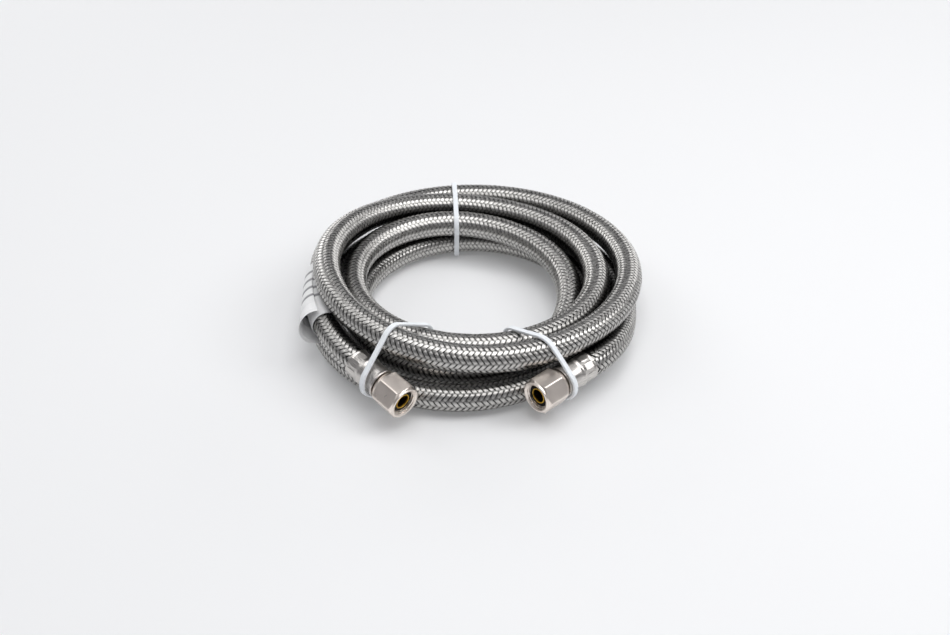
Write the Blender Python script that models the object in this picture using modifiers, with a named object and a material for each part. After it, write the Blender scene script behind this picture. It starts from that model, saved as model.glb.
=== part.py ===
"""Braided ice maker hose, coiled and tied, with a swivel nut on each end.

Metres, +Z up. The coil lies flat on z = 0 with its axis close to x = y = 0, and the two
nuts lie at the front, on the -Y side. Run with: blender --background --python part.py
"""
import math

import bmesh
import bpy
import numpy as np
from mathutils import Matrix, Vector

# Hose
HOSE_OD = 0.0118
BRAID_WALL = 0.0006
TUBE_WALL = 0.0014
TURN_GAP = 0.0007
FIT_GAP = 0.0003
HOSE_SIDES_RESOLUTION = 2

# Coil
INNER_TURN_R = 0.0472
STATIONS_PER_TURN = 24
SETTLE_ROUNDS = 200
SETTLE_SMOOTHING = 0.01
LEAD_IN_STEPS = 6

# Band ties
TIE_THICK = 0.0014
TIE_WIDTH = 0.0028
TIE_CORNER = 0.00042
TIE_POINT_GAP = 0.0014
TIE_LONGEST_SIDE = 0.0060
TIE_FOOT_STEPS = 6
OVAL_POINTS = 72

# Ferrules
FERRULE_LENGTH = 0.0164
FERRULE_OVER_HOSE = 0.0002
FERRULE_WALL = 0.0006
FERRULE_FRONT_WALL = 0.0008
FERRULE_EDGE = 0.0002
FERRULE_RING_RISE = 0.0005
FERRULE_RING_LENGTH = 0.0010
FERRULE_RING_EDGE = 0.0003
FERRULE_MOUTH_TAPER = 0.0012
BEAD_RISE = 0.00035
BEAD_LENGTH = 0.0005
BEAD_SLOPE_LENGTH = 0.0005
BEAD_AFTER_CRIMP = 0.0005
CRIMP_START = 0.0008
CRIMP_LENGTH = 0.0052
CRIMP_FLAT_DEPTH = 0.00025
CRIMP_FLATS = 8

# Brass stems
STEM_WALL = 0.0007
STEM_BARB_RISE = 0.00022
STEM_BARB_EDGE = 0.0001
STEM_BARBS = 4
STEM_BARB_ROOT_SHARE = 0.2
STEM_SHORT_OF_REAR = 0.0018
STEM_COLLAR_R = 0.0046
STEM_COLLAR_LENGTH = 0.0008
STEM_NECK_R = 0.0030
STEM_HEAD_R = 0.0047
STEM_HEAD_LENGTH = 0.0011
NOSE_R = 0.0033
NOSE_BORE_R = 0.0027
NOSE_LENGTH = 0.0033
NOSE_BORE_TAPER = 0.0008

# Swivel nuts; NUT_SLIDE is how far each is slid back from its stem's head, against the ferrule,
# and CUT_PAST how far a cutter reaches past the face that it opens
NUT_SLIDE = 0.0048
CUT_PAST = 0.001
NUT_FLATS = 0.0140
NUT_LENGTH = 0.0136
NUT_REAR_WALL = 0.0020
NUT_SHOULDER_LENGTH = 0.0022
NUT_SHOULDER_STEP = 0.0010
NUT_NECK_INSET = 0.0009
NUT_RIM_LENGTH = 0.0011
NUT_RIM_INSET = 0.0001
NUT_EDGE = 0.0002
NUT_CORNER_SLOPE = 0.0009
THREAD_MINOR_R = 0.00505
THREAD_MAJOR_R = 0.00556
THREAD_LEAD_IN = 0.0010
THREAD_LEAD_IN_FLAT = 0.0004

# Cone washers
WASHER_LENGTH = 0.0026
WASHER_BACK_R = 0.0047
WASHER_FRONT_R = 0.0040
WASHER_EDGE = 0.0003

# Paper label
LABEL_PAPER = 0.00018
LABEL_LENGTH = 0.0400
LABEL_START = 0.0270
LABEL_BULGE = 0.0056
LABEL_FLARE = 3
LABEL_FIRST_TURN = 130.0
LABEL_LAST_TURN = 610.0
LABEL_LIFTS_AT = 445.0
LABEL_POINTS = 36

# Places beside the coil: (azimuth in degrees, columns outward from the innermost turn, rows up
# from the floor row), with columns and rows in pitches. First each ferrule's rear edge, and where
# it points, then the free stretch before end B.
END_A_REAR = (-125.86, 2.383, 0.928)
END_A_HEADING = -45.7
END_A_DIP = 8.5
END_B_REAR = (-49.29, 2.430, 0.552)
END_B_HEADING = -137.7
END_B_DIP = 1.0
LEAD_OUT = [
    (-6.41, 1.883, 0.064), (-12.87, 1.935, 0.088), (-19.19, 2.018, 0.160), (-25.38, 2.121, 0.256),
    (-31.42, 2.224, 0.360), (-37.43, 2.319, 0.456), (-43.53, 2.392, 0.520),
]

# Ties: the line on the floor that each stands over, from the coil's hole outwards, as (azimuth,
# columns). Those at the front then pass over a ferrule, so far from its rear edge.
TIE_FEET = {
    "tie_back": ((98.72, -1.348), (95.92, 0.648), (94.71, 3.047)),
    "tie_left": ((-104.53, -0.652), (-114.79, 1.203)),
    "tie_right": ((-71.18, -0.057), (-64.59, 1.538)),
}
TIE_OVER_FERRULE = {"tie_left": ("a", 0.0115), "tie_right": ("b", 0.0156)}
TIE_PAST_FERRULE = 0.0100

# Slots that the turns lie in, eight to a turn, from the left side by way of the back, as
# (columns, rows)
FIRST_SLOT_AZIMUTH = 180.0
SLOT_STEP = 45.0
SLOTS = [
    (1.44, 1.02), (1.75, 0.86), (1.88, 0.76), (2.30, 0.73),
    (2.03, 1.08), (1.80, 1.42), (1.90, 1.38), (1.57, 2.00),
    (1.00, 2.15), (1.00, 1.42), (0.70, 0.92), (0.79, 0.92),
    (0.92, 1.00), (0.90, 1.00), (0.52, 0.88), (0.35, 0.92),
    (0.35, 1.08), (0.00, 1.00), (-0.37, 0.91), (-0.48, 0.73),
    (-0.09, 0.67), (0.48, 0.00), (0.62, 0.00), (0.60, 0.00),
    (0.14, 0.00), (-0.06, 0.00), (0.00, 0.00), (0.22, 0.00),
    (0.60, 0.00), (1.24, 0.00), (2.22, 0.00), (1.86, 0.00),
    (1.34, 0.00), (1.12, 0.00), (1.12, 0.00), (1.42, 0.00),
    (1.85, 0.06),
]

# What brings the middle of the whole part to x = y = 0
COIL_SHIFT = (-0.00212, 0.00526)

# Worked out from the sizes above
HOSE_R = HOSE_OD / 2
PITCH = HOSE_OD + TURN_GAP
FLOOR_ROW_Z = TIE_THICK + FIT_GAP + HOSE_R
FERRULE_R = HOSE_R + FERRULE_OVER_HOSE
FERRULE_RING_R = FERRULE_R + FERRULE_RING_RISE
BRAID_CRIMPED_R = FERRULE_R - FERRULE_WALL - FIT_GAP
TUBE_R = HOSE_R - BRAID_WALL - FIT_GAP
TUBE_CRIMPED_R = BRAID_CRIMPED_R - BRAID_WALL - FIT_GAP
STEM_BARB_R = TUBE_CRIMPED_R - TUBE_WALL - FIT_GAP
STEM_ROOT_R = STEM_BARB_R - STEM_BARB_RISE
STEM_BORE_R = STEM_ROOT_R - STEM_WALL
COLLAR_Z = FIT_GAP
FERRULE_FRONT_Z = COLLAR_Z + STEM_COLLAR_LENGTH + FIT_GAP
FERRULE_TIP_Z = FERRULE_FRONT_Z + FERRULE_FRONT_WALL
FERRULE_REAR_Z = FERRULE_TIP_Z - FERRULE_LENGTH
CRIMP_START_Z = FERRULE_REAR_Z + CRIMP_START
CRIMP_END_Z = CRIMP_START_Z + CRIMP_LENGTH
NUT_REAR_Z = FERRULE_TIP_Z + FIT_GAP
NUT_MOUTH_Z = NUT_REAR_Z + NUT_LENGTH
HEAD_Z = NUT_REAR_Z + NUT_REAR_WALL + NUT_SLIDE
WASHER_Z = HEAD_Z + STEM_HEAD_LENGTH + FIT_GAP
NOSE_TIP_Z = HEAD_Z + STEM_HEAD_LENGTH + NOSE_LENGTH
HOLE_FOR_NECK_R = STEM_NECK_R + FIT_GAP
NUT_CORNER_R = NUT_FLATS / math.sqrt(3)


def clear_scene():
    for old in list(bpy.data.objects):
        bpy.data.objects.remove(old, do_unlink=True)


def new_collection(name):
    made = bpy.data.collections.new(name)
    bpy.context.scene.collection.children.link(made)
    return made


def material(name, colour, roughness, metallic):
    made = bpy.data.materials.new(name)
    made.use_nodes = True
    shader = made.node_tree.nodes["Principled BSDF"]
    shader.inputs["Base Color"].default_value = (*colour, 1.0)
    shader.inputs["Roughness"].default_value = roughness
    shader.inputs["Metallic"].default_value = metallic
    return made


def place(obj, collection, surface=None, parent=None):
    collection.objects.link(obj)
    obj.parent = parent
    if surface is not None:
        obj.data.materials.append(surface)
    return obj


def shade_round(mesh, sharp_degrees=35.0):
    mesh.shade_smooth()
    mesh.set_sharp_from_angle(angle=math.radians(sharp_degrees))


# The route of the hose

def through_points(values, per_step):
    """Points of a smooth curve through evenly spaced values, per_step of them to each step."""
    padded = np.vstack([2 * values[0] - values[1], values, 2 * values[-1] - values[-2]])
    out = []
    for i in range(len(values) - 1):
        before, start, end, after = padded[i:i + 4]
        for k in range(per_step):
            t = k / per_step
            out.append(0.5 * (2 * start + (end - before) * t
                              + (2 * before - 5 * start + 4 * end - after) * t ** 2
                              + (3 * start - before - 3 * end + after) * t ** 3))
    out.append(values[-1])
    return np.array(out)


def settle_turns(section):
    """Move turns that lie closer than one pitch apart, and keep them off the floor."""
    for _ in range(SETTLE_ROUNDS):
        for turns in range(1, len(section) // STATIONS_PER_TURN + 1):
            offset = turns * STATIONS_PER_TURN
            if offset >= len(section):
                continue
            apart = section[offset:] - section[:-offset]
            distance = np.linalg.norm(apart, axis=1, keepdims=True)
            short = np.clip(PITCH - distance, 0, None)
            push = 0.5 * short * apart / distance
            section[offset:] += push
            section[:-offset] -= push
        section[1:-1] += SETTLE_SMOOTHING * (section[2:] + section[:-2] - 2 * section[1:-1])
        section[:, 1] = np.maximum(section[:, 1], FLOOR_ROW_Z)
    return section


def direction(heading, dip):
    level = math.cos(math.radians(dip))
    return Vector((level * math.cos(math.radians(heading)),
                   level * math.sin(math.radians(heading)),
                   -math.sin(math.radians(dip))))


def beside_coil(azimuth, columns, rows=0.0):
    """The point at an azimuth, so many columns outward from the innermost turn and rows up."""
    radius = INNER_TURN_R + columns * PITCH
    turn = math.radians(azimuth)
    return Vector((radius * math.cos(turn), radius * math.sin(turn), FLOOR_ROW_Z + rows * PITCH))


def join_curve(start, start_way, end, end_way, count):
    """Points between two ends of the route, leaving each along its own direction."""
    reach = (end - start).length
    out = []
    for k in range(1, count):
        t = k / count
        out.append(start * (2 * t ** 3 - 3 * t ** 2 + 1) + start_way * reach * (t ** 3 - 2 * t ** 2 + t)
                   + end * (3 * t ** 2 - 2 * t ** 3) + end_way * reach * (t ** 3 - t ** 2))
    return out


def coil_points():
    slots = np.array(SLOTS)
    per_slot = round(STATIONS_PER_TURN * SLOT_STEP / 360)
    section = through_points(slots, per_slot)
    section = section * PITCH + np.array([INNER_TURN_R, FLOOR_ROW_Z])
    section = settle_turns(section)
    points = []
    for i, (radius, height) in enumerate(section):
        azimuth = math.radians(FIRST_SLOT_AZIMUTH - i * 360 / STATIONS_PER_TURN)
        points.append(Vector((radius * math.cos(azimuth), radius * math.sin(azimuth), height)))
    return points


def hose_route():
    """Centre line from ferrule A's rear edge, round the coil, to ferrule B's rear edge."""
    shift = Vector((*COIL_SHIFT, 0))
    coil = coil_points()
    start = beside_coil(*END_A_REAR)
    way_in = (coil[1] - coil[0]).normalized()
    way_out = -direction(END_A_HEADING, END_A_DIP)
    lead_in = join_curve(start, way_out, coil[0], way_in, LEAD_IN_STEPS)
    lead_out = [beside_coil(*place) for place in LEAD_OUT + [END_B_REAR]]
    route = [start] + lead_in + coil + lead_out
    return [point + shift for point in route]


# Turned pieces, made along their own +Z with the hose's cut end at z = 0

def turned(name, profile, steps, cap_axis=False):
    """A solid turned from a closed profile of (radius, z), running down its outer side."""
    mesh = bpy.data.meshes.new(name)
    ring = [(radius, 0.0, z) for radius, z in profile]
    edges = [(i, (i + 1) % len(ring)) for i in range(len(ring) - (1 if cap_axis else 0))]
    mesh.from_pydata(ring, edges, [])
    obj = bpy.data.objects.new(name, mesh)
    screw = obj.modifiers.new("turn", "SCREW")
    screw.angle = 2 * math.pi
    screw.steps = steps
    screw.render_steps = steps
    screw.use_merge_vertices = True
    screw.merge_threshold = 0.00001
    screw.use_smooth_shade = True
    return obj


def as_mesh(obj, collection, name):
    """The evaluated mesh of an object as a new plain object; the old one is removed."""
    collection.objects.link(obj)
    bpy.context.view_layer.update()
    depsgraph = bpy.context.evaluated_depsgraph_get()
    mesh = bpy.data.meshes.new_from_object(obj.evaluated_get(depsgraph))
    made = bpy.data.objects.new(name, mesh)
    made.matrix_world = obj.matrix_world.copy()
    bpy.data.objects.remove(obj, do_unlink=True)
    return made


def hide_cutter(obj, cutters, parent):
    cutters.objects.link(obj)
    obj.parent = parent
    obj.hide_render = True
    obj.display_type = "WIRE"


def cut(obj, cutter, operation="DIFFERENCE"):
    boolean = obj.modifiers.new(cutter.name, "BOOLEAN")
    boolean.operation = operation
    boolean.solver = "EXACT"
    boolean.object = cutter


def ferrule(suffix, parts, cutters, parent, surface):
    inner = FERRULE_R - FERRULE_WALL
    bead_foot = CRIMP_END_Z + BEAD_AFTER_CRIMP
    bead_low = bead_foot + BEAD_SLOPE_LENGTH
    bead_high = bead_low + BEAD_LENGTH
    profile = [
        (HOLE_FOR_NECK_R, FERRULE_TIP_Z),
        (FERRULE_RING_R - FERRULE_RING_EDGE, FERRULE_TIP_Z),
        (FERRULE_RING_R, FERRULE_TIP_Z - FERRULE_RING_EDGE),
        (FERRULE_RING_R, FERRULE_TIP_Z - FERRULE_RING_LENGTH + FERRULE_EDGE),
        (FERRULE_R, FERRULE_TIP_Z - FERRULE_RING_LENGTH),
        (FERRULE_R, bead_high + BEAD_SLOPE_LENGTH),
        (FERRULE_R + BEAD_RISE, bead_high),
        (FERRULE_R + BEAD_RISE, bead_low),
        (FERRULE_R, bead_foot),
        (FERRULE_R, FERRULE_REAR_Z + FERRULE_EDGE),
        (FERRULE_R - FERRULE_EDGE, FERRULE_REAR_Z),
        (inner, FERRULE_REAR_Z),
        (inner, FERRULE_FRONT_Z),
        (HOLE_FOR_NECK_R, FERRULE_FRONT_Z),
    ]
    body = as_mesh(turned("ferrule_blank", profile, 24), parts, "ferrule_" + suffix)
    shade_round(body.data)
    place(body, parts, surface, parent)
    die = crimp_die("crimp_die_" + suffix)
    hide_cutter(die, cutters, parent)
    cut(body, die)
    return body


def crimp_die(name):
    """A ring with eight flat inner faces, which presses the flats into a ferrule's rear."""
    apothem = FERRULE_R - CRIMP_FLAT_DEPTH
    inner_r = apothem / math.cos(math.pi / CRIMP_FLATS)
    outer_r = inner_r + FERRULE_WALL
    profile = [(inner_r, CRIMP_END_Z), (outer_r, CRIMP_END_Z),
               (outer_r, CRIMP_START_Z), (inner_r, CRIMP_START_Z)]
    die = turned(name, profile, CRIMP_FLATS)
    return as_mesh(die, bpy.context.scene.collection, name)


def stem_profile():
    tip_z = FERRULE_REAR_Z + STEM_SHORT_OF_REAR
    barb_pitch = -tip_z / (STEM_BARBS + STEM_BARB_ROOT_SHARE)
    profile = [(NOSE_BORE_R, NOSE_TIP_Z), (NOSE_R, NOSE_TIP_Z),
               (NOSE_R, HEAD_Z + STEM_HEAD_LENGTH), (STEM_HEAD_R, HEAD_Z + STEM_HEAD_LENGTH),
               (STEM_HEAD_R, HEAD_Z), (STEM_NECK_R, HEAD_Z),
               (STEM_NECK_R, COLLAR_Z + STEM_COLLAR_LENGTH),
               (STEM_COLLAR_R, COLLAR_Z + STEM_COLLAR_LENGTH),
               (STEM_COLLAR_R, COLLAR_Z), (STEM_ROOT_R, COLLAR_Z)]
    for i in range(STEM_BARBS):
        top = -(i + STEM_BARB_ROOT_SHARE) * barb_pitch
        low = -(i + 1) * barb_pitch
        profile += [(STEM_ROOT_R, top), (STEM_BARB_R, top - STEM_BARB_EDGE), (STEM_ROOT_R, low)]
    profile += [(STEM_ROOT_R, tip_z), (STEM_BORE_R, tip_z)]
    profile += [(STEM_BORE_R, HEAD_Z), (NOSE_BORE_R, HEAD_Z + NOSE_BORE_TAPER)]
    return profile


def stem(suffix, parts, parent, surface):
    body = turned("hose_stem_" + suffix, stem_profile(), 16)
    return place(body, parts, surface, parent)


def cone_washer(suffix, parts, parent, surface):
    bore = NOSE_R + FIT_GAP
    front = WASHER_Z + WASHER_LENGTH
    profile = [(bore, front), (WASHER_FRONT_R - WASHER_EDGE, front),
               (WASHER_FRONT_R, front - WASHER_EDGE),
               (WASHER_BACK_R, WASHER_Z), (bore, WASHER_Z)]
    return place(turned("cone_washer_" + suffix, profile, 20), parts, surface, parent)


def nut_envelope(name):
    """The turned outline that rounds a nut's shoulder and rim, with a closed axis."""
    rim_r = NUT_FLATS / 2 - NUT_RIM_INSET
    neck_r = NUT_FLATS / 2 - NUT_NECK_INSET
    hex_back = NUT_REAR_Z + NUT_SHOULDER_LENGTH
    hex_front = NUT_MOUTH_Z - NUT_RIM_LENGTH
    wide = NUT_CORNER_R + NUT_EDGE
    profile = [
        (0.0, NUT_MOUTH_Z),
        (rim_r - NUT_EDGE, NUT_MOUTH_Z),
        (rim_r, NUT_MOUTH_Z - NUT_EDGE),
        (rim_r, hex_front + NUT_EDGE),
        (wide, hex_front + NUT_EDGE - NUT_CORNER_SLOPE),
        (wide, hex_back - NUT_EDGE + NUT_CORNER_SLOPE),
        (rim_r, hex_back - NUT_EDGE),
        (rim_r - NUT_EDGE, hex_back - NUT_SHOULDER_STEP),
        (neck_r, NUT_REAR_Z + NUT_EDGE),
        (neck_r - NUT_EDGE, NUT_REAR_Z),
        (0.0, NUT_REAR_Z),
    ]
    return as_mesh(turned(name, profile, 24, cap_axis=True), bpy.context.scene.collection, name)


def nut_bore(name):
    """What is cut out of a nut: the threaded socket, its lead-in and the hole for the neck."""
    socket_back = NUT_REAR_Z + NUT_REAR_WALL
    profile = [
        (0.0, NUT_MOUTH_Z + CUT_PAST),
        (THREAD_MAJOR_R, NUT_MOUTH_Z + CUT_PAST),
        (THREAD_MAJOR_R, NUT_MOUTH_Z - THREAD_LEAD_IN_FLAT),
        (THREAD_MINOR_R, NUT_MOUTH_Z - THREAD_LEAD_IN),
        (THREAD_MINOR_R, socket_back),
        (HOLE_FOR_NECK_R, socket_back),
        (HOLE_FOR_NECK_R, NUT_REAR_Z - CUT_PAST),
        (0.0, NUT_REAR_Z - CUT_PAST),
    ]
    return as_mesh(turned(name, profile, 24, cap_axis=True), bpy.context.scene.collection, name)


def swivel_nut(suffix, parts, cutters, parent, surface):
    mesh = bpy.data.meshes.new("swivel_nut_" + suffix)
    built = bmesh.new()
    bmesh.ops.create_cone(built, cap_ends=True, segments=6, radius1=NUT_CORNER_R,
                          radius2=NUT_CORNER_R, depth=NUT_LENGTH + 2 * CUT_PAST,
                          matrix=Matrix.Translation((0, 0, (NUT_REAR_Z + NUT_MOUTH_Z) / 2)))
    built.to_mesh(mesh)
    built.free()
    nut = bpy.data.objects.new("swivel_nut_" + suffix, mesh)
    place(nut, parts, surface, parent)
    envelope = nut_envelope("nut_envelope_" + suffix)
    bore = nut_bore("nut_bore_" + suffix)
    hide_cutter(envelope, cutters, parent)
    hide_cutter(bore, cutters, parent)
    cut(nut, envelope, "INTERSECT")
    cut(nut, bore)
    return nut


# The hose: a woven sleeve over a plain tube

def tube_along(name, route, radii, wall, parts, surface):
    curve = bpy.data.curves.new(name + "_line", "CURVE")
    curve.dimensions = "3D"
    curve.bevel_depth = 1.0
    curve.bevel_resolution = HOSE_SIDES_RESOLUTION
    curve.use_fill_caps = False
    spline = curve.splines.new("POLY")
    spline.points.add(len(route) - 1)
    for point, at, radius in zip(spline.points, route, radii):
        point.co = (*at, 1.0)
        point.radius = radius
    body = as_mesh(bpy.data.objects.new(name + "_line", curve), parts, name)
    place(body, parts, surface)
    shade_round(body.data, 60.0)
    shell = body.modifiers.new("wall", "SOLIDIFY")
    shell.thickness = wall
    shell.offset = -1.0
    shell.use_even_offset = False
    return body


def with_ends(route, way_a, way_b, radius, crimped_r):
    """The route with the straight stretches inside both ferrules, and its radius at each point."""
    depth = -FERRULE_REAR_Z
    inside = (depth, depth / 2, FERRULE_MOUTH_TAPER, 0.0)
    end_a = [route[0] + way_a * along for along in inside]
    end_b = [route[-1] + way_b * along for along in reversed(inside)]
    neck_a = route[0] - way_a * FERRULE_MOUTH_TAPER
    neck_b = route[-1] - way_b * FERRULE_MOUTH_TAPER
    free = [neck_a] + route[1:-1] + [neck_b]
    crimped = [crimped_r] * len(inside)
    return end_a + free + end_b, crimped + [radius] * len(free) + crimped


def with_ferrules(line, radii, way_a, way_b):
    """The hose's line carried on to both ferrule tips, with the ferrules' radii at the ends."""
    tip_a = line[0] + way_a * FERRULE_TIP_Z
    tip_b = line[-1] + way_b * FERRULE_TIP_Z
    return [tip_a] + line + [tip_b], [FERRULE_RING_R] * 5 + radii[4:-4] + [FERRULE_RING_R] * 5


# Ties and label

def foot_line(name, fittings):
    """The smoothed line on the floor that a tie stands over, as points in order."""
    corners = [beside_coil(*place) + Vector((*COIL_SHIFT, 0)) for place in TIE_FEET[name]]
    if name in TIE_OVER_FERRULE:
        suffix, from_rear = TIE_OVER_FERRULE[name]
        rear, way = fittings[suffix]
        over = rear + way * from_rear
        onward = (over - corners[-1]).normalized()
        corners += [over, over + onward * TIE_PAST_FERRULE]
    return through_points(np.array([tuple(corner[:2]) for corner in corners]), TIE_FOOT_STEPS)


def crossings(line, radii, foot):
    """Where the hose passes over a foot line: (distance along it, height, half width, half height)."""
    found = []
    travelled = 0.0
    for near, far in zip(foot[:-1], foot[1:]):
        reach = float(np.linalg.norm(far - near))
        along = Vector((*(far - near), 0)).normalized()
        across = Vector((-along.y, along.x, 0))
        corner = Vector((*near, 0))
        for start, end, radius in zip(line[:-1], line[1:], radii):
            low = (start - corner).dot(across)
            high = (end - corner).dot(across)
            if low * high > 0:
                continue
            at = start.lerp(end, low / (low - high))
            distance = (at - corner).dot(along)
            if 0 <= distance < reach:
                slant = abs((end - start).normalized().dot(across))
                found.append((travelled + distance, at.z, radius / slant, radius))
        travelled += reach
    return found


def hull_outline(ovals, margin):
    """The outline of a band pulled round ovals of (x, y, half width, half height), in order."""
    cloud = []
    for x, y, half_width, half_height in ovals:
        for k in range(OVAL_POINTS):
            turn = 2 * math.pi * k / OVAL_POINTS
            cloud.append((x + (half_width + margin) * math.cos(turn),
                          y + (half_height + margin) * math.sin(turn)))
    cloud.sort()

    def half(points):
        chain = []
        for p in points:
            while len(chain) > 1:
                ax, ay = chain[-1][0] - chain[-2][0], chain[-1][1] - chain[-2][1]
                bx, by = p[0] - chain[-2][0], p[1] - chain[-2][1]
                if ax * by - ay * bx > 0:
                    break
                chain.pop()
            chain.append(p)
        return chain[:-1]

    outline = half(cloud) + half(cloud[::-1])
    thinned = [outline[0]]
    for p in outline[1:]:
        if math.dist(p, thinned[-1]) > TIE_POINT_GAP:
            thinned.append(p)
    return thinned


def filled_in(outline, longest):
    """The closed outline with points added on its long straight stretches."""
    out = []
    for start, end in zip(outline, outline[1:] + outline[:1]):
        pieces = max(1, math.ceil(math.dist(start, end) / longest))
        for k in range(pieces):
            t = k / pieces
            out.append((start[0] + (end[0] - start[0]) * t, start[1] + (end[1] - start[1]) * t))
    return out


def over_foot(foot, distance):
    """The point on the floor at a distance along a foot line, and the way the line runs there."""
    for near, far in zip(foot[:-1], foot[1:]):
        reach = float(np.linalg.norm(far - near))
        if distance < reach:
            break
        distance -= reach
    else:
        distance += reach
    along = (far - near) / reach
    return Vector((*(near + along * distance), 0)), Vector((*along, 0))


def band_section():
    """The rounded outline of a band: (across its width, through its thickness)."""
    half_width = TIE_WIDTH / 2
    half_thick = TIE_THICK / 2
    flat = half_width - TIE_CORNER
    side = half_thick - TIE_CORNER
    return [(half_width, side), (flat, half_thick), (-flat, half_thick), (-half_width, side),
            (-half_width, -side), (-flat, -half_thick), (flat, -half_thick), (half_width, -side)]


def band_tie(name, fittings, line, radii, parts, surface):
    foot = foot_line(name, fittings)
    ovals = crossings(line, radii, foot)
    outline = filled_in(hull_outline(ovals, FIT_GAP + TIE_THICK / 2), TIE_LONGEST_SIDE)
    places = []
    for distance, height in outline:
        at, along = over_foot(foot, distance)
        places.append((at + Vector((0, 0, height)), Vector((-along.y, along.x, 0))))
    built = bmesh.new()
    rings = []
    for i, (at, across) in enumerate(places):
        run = (places[(i + 1) % len(places)][0] - places[i - 1][0]).normalized()
        out = run.cross(across).normalized()
        side = out.cross(run).normalized()
        rings.append([built.verts.new(at + side * w + out * h) for w, h in band_section()])
    for near, far in zip(rings, rings[1:] + rings[:1]):
        for k in range(len(near)):
            after = (k + 1) % len(near)
            built.faces.new((near[k], near[after], far[after], far[k]))
    bmesh.ops.recalc_face_normals(built, faces=built.faces)
    mesh = bpy.data.meshes.new(name)
    built.to_mesh(mesh)
    built.free()
    shade_round(mesh, 50.0)
    return place(bpy.data.objects.new(name, mesh), parts, surface)


def label_section(t, opened):
    """One point of the label's rolled section, t from 0 to 1: (outward, up) from the hose axis."""
    turn = LABEL_FIRST_TURN + (LABEL_LAST_TURN - LABEL_FIRST_TURN) * t
    double_from = LABEL_FIRST_TURN + 360
    lift = min(1.0, max(0.0, (turn - LABEL_LIFTS_AT) / (double_from - LABEL_LIFTS_AT)))
    outward = max(0.0, -math.cos(math.radians(turn))) if turn > LABEL_LIFTS_AT else 0.0
    radius = HOSE_R + FIT_GAP + LABEL_PAPER / 2 + 2 * LABEL_PAPER * lift
    radius += LABEL_BULGE * opened * outward
    return -radius * math.cos(math.radians(turn)), radius * math.sin(math.radians(turn))


def label_stations(line):
    """Points of the hose's line under the label, each with the hose's direction there."""
    travelled = 0.0
    stations = []
    for before, start, end in zip(line[4:-2], line[5:-1], line[6:]):
        step = (end - start).length
        way = (end - start).normalized()
        if not stations and travelled + step > LABEL_START:
            stations.append((start.lerp(end, (LABEL_START - travelled) / step), way))
        elif stations:
            stations.append((start.copy(), (way + (start - before).normalized()).normalized()))
        travelled += step
        if travelled > LABEL_START + LABEL_LENGTH:
            left = 1 - (travelled - LABEL_START - LABEL_LENGTH) / step
            stations.append((start.lerp(end, left), way))
            break
    return stations


def paper_label(line, parts, surface):
    mesh = bpy.data.meshes.new("paper_label")
    built = bmesh.new()
    rows = []
    stations = label_stations(line)
    for at, way in stations:
        opened = max(0.0, 1 - (at - stations[0][0]).length / LABEL_LENGTH) ** LABEL_FLARE
        outward = Vector((at.x - COIL_SHIFT[0], at.y - COIL_SHIFT[1], 0)).normalized()
        outward = (outward - way * outward.dot(way)).normalized()
        up = outward.cross(way)
        row = []
        for k in range(LABEL_POINTS):
            out, rise = label_section(k / (LABEL_POINTS - 1), opened)
            row.append(built.verts.new(at + outward * out + up * rise))
        rows.append(row)
    for near, far in zip(rows[:-1], rows[1:]):
        for k in range(LABEL_POINTS - 1):
            built.faces.new((near[k], near[k + 1], far[k + 1], far[k]))
    built.to_mesh(mesh)
    built.free()
    label = bpy.data.objects.new("paper_label", mesh)
    place(label, parts, surface)
    shade_round(mesh, 60.0)
    sheet = label.modifiers.new("paper", "SOLIDIFY")
    sheet.thickness = LABEL_PAPER
    sheet.offset = 0.0
    return label


def end_empty(name, rear, way, parts):
    """An empty at the hose's cut end inside a ferrule, its +Z along the fitting's axis."""
    frame = bpy.data.objects.new(name, None)
    parts.objects.link(frame)
    turn = way.to_track_quat("Z", "X").to_matrix().to_4x4()
    frame.matrix_world = Matrix.Translation(rear - way * FERRULE_REAR_Z) @ turn
    return frame


def build():
    clear_scene()
    parts = new_collection("ice_maker_hose")
    cutters = new_collection("cutters")
    steel = material("braided_steel", (0.62, 0.61, 0.59), 0.32, 1.0)
    plastic = material("clear_tube", (0.82, 0.84, 0.83), 0.35, 0.0)
    nickel = material("nickel_plate", (0.72, 0.68, 0.63), 0.28, 1.0)
    crimped = material("ferrule_steel", (0.66, 0.64, 0.61), 0.30, 1.0)
    brass = material("brass", (0.86, 0.62, 0.22), 0.25, 1.0)
    rubber = material("black_rubber", (0.015, 0.015, 0.015), 0.55, 0.0)
    band = material("white_band", (0.86, 0.89, 0.93), 0.45, 0.0)
    paper = material("white_paper", (0.90, 0.90, 0.91), 0.70, 0.0)

    route = hose_route()
    way_a = direction(END_A_HEADING, END_A_DIP)
    way_b = direction(END_B_HEADING, END_B_DIP)
    line, sleeve_radii = with_ends(route, way_a, way_b, HOSE_R, BRAID_CRIMPED_R)
    _, tube_radii = with_ends(route, way_a, way_b, TUBE_R, TUBE_CRIMPED_R)
    tube_along("braid_sleeve", line, sleeve_radii, BRAID_WALL, parts, steel)
    tube_along("inner_tube", line, tube_radii, TUBE_WALL, parts, plastic)

    fittings = {"a": (route[0], way_a), "b": (route[-1], way_b)}
    for suffix, (rear, way) in fittings.items():
        frame = end_empty("fitting_" + suffix, rear, way, parts)
        ferrule(suffix, parts, cutters, frame, crimped)
        stem(suffix, parts, frame, brass)
        cone_washer(suffix, parts, frame, rubber)
        swivel_nut(suffix, parts, cutters, frame, nickel)

    tied_line, tied_radii = with_ferrules(line, sleeve_radii, way_a, way_b)
    for name in TIE_FEET:
        band_tie(name, fittings, tied_line, tied_radii, parts, band)
    paper_label(line, parts, paper)


build()
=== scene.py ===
import math

import bpy
import numpy as np
from mathutils import Matrix, Vector


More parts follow.
